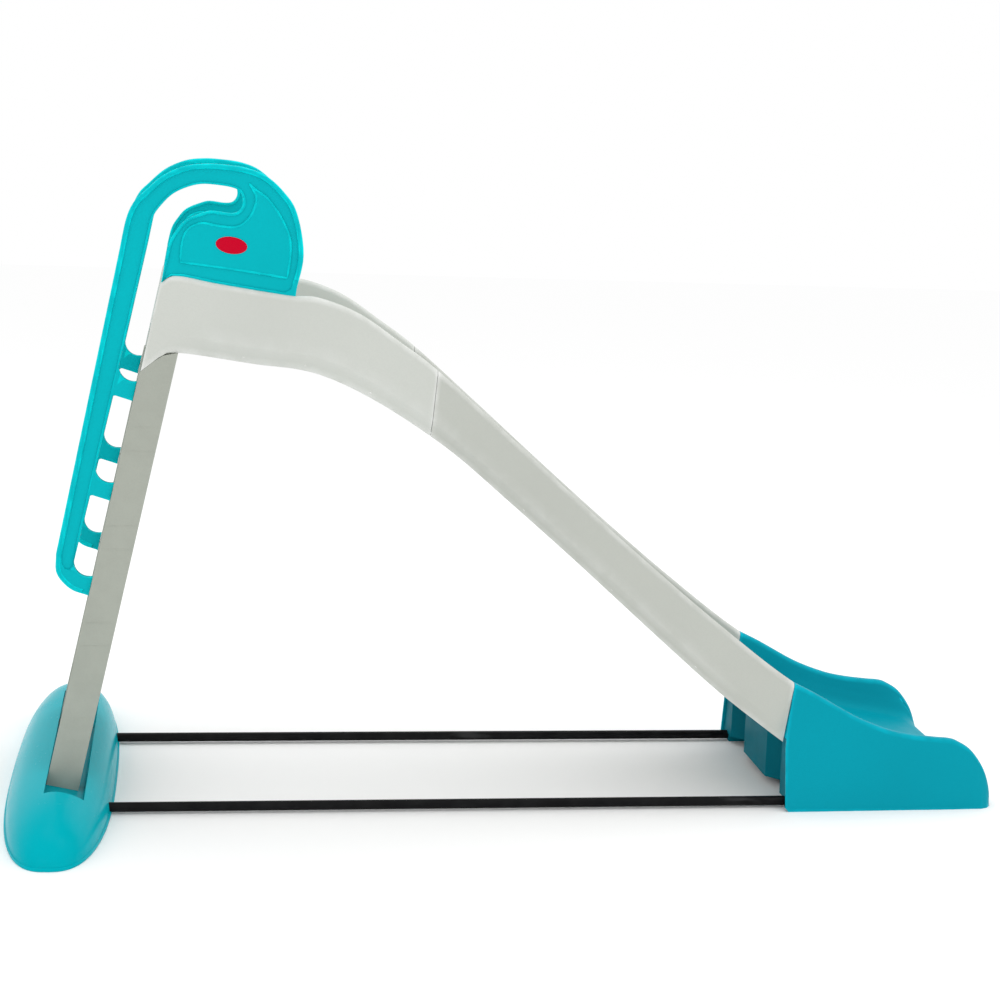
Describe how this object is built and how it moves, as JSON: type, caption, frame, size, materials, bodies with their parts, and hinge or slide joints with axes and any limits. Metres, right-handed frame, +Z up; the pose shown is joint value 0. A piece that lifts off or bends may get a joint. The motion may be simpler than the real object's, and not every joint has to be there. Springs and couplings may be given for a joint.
{
  "type": "toddler slide",
  "caption": "Free-standing plastic toddler slide with a curved chute, a leaning ladder, two side handrails, a long oval foot, an end piece and two ground tubes.",
  "frame": {"origin": "on the ground, in the middle of the slide's footprint", "axes": "+X the way the child slides, +Y to the left of a child who looks down the chute, +Z up"},
  "size_m": [1.9537, 1.0968, 1.2325],
  "materials": {
    "teal_plastic": "moulded satin plastic",
    "teal_gloss_plastic": "moulded glossy plastic",
    "grey_plastic": "moulded satin plastic",
    "ladder_plastic": "moulded satin plastic",
    "black_steel": "black powder coat",
    "red_plastic": "glossy plate",
    "zinc_steel": "zinc plate"
  },
  "bodies": {
    "root": {"base_foot": "teal_gloss_plastic", "tie_tube_left": "black_steel", "tie_tube_right": "black_steel", "ladder_rail_left": "ladder_plastic", "ladder_rail_right": "ladder_plastic", "ladder_tread_1": "ladder_plastic", "ladder_tread_2": "ladder_plastic", "ladder_tread_3": "ladder_plastic", "ladder_tread_4": "ladder_plastic", "handrail_left": "teal_plastic", "handrail_right": "teal_plastic", "badge_left": "red_plastic", "badge_right": "red_plastic", "upper_chute": "grey_plastic", "lower_chute": "grey_plastic", "end_piece": "teal_plastic", "handrail_screw_left_1": "zinc_steel", "handrail_screw_left_2": "zinc_steel", "handrail_screw_left_3": "zinc_steel", "ladder_top_screw_left": "zinc_steel", "ladder_foot_screw_left": "zinc_steel", "tube_screw_left_1": "zinc_steel", "tube_screw_left_2": "zinc_steel", "handrail_screw_right_1": "zinc_steel", "handrail_screw_right_2": "zinc_steel", "handrail_screw_right_3": "zinc_steel", "ladder_top_screw_right": "zinc_steel", "ladder_foot_screw_right": "zinc_steel", "tube_screw_right_1": "zinc_steel", "tube_screw_right_2": "zinc_steel", "upper_joint_bolt_left": "zinc_steel", "upper_joint_nut_left": "zinc_steel", "upper_joint_bolt_right": "zinc_steel", "upper_joint_nut_right": "zinc_steel", "lower_joint_bolt_left": "zinc_steel", "lower_joint_nut_left": "zinc_steel", "lower_joint_bolt_right": "zinc_steel", "lower_joint_nut_right": "zinc_steel"}
  },
  "joints": []
}
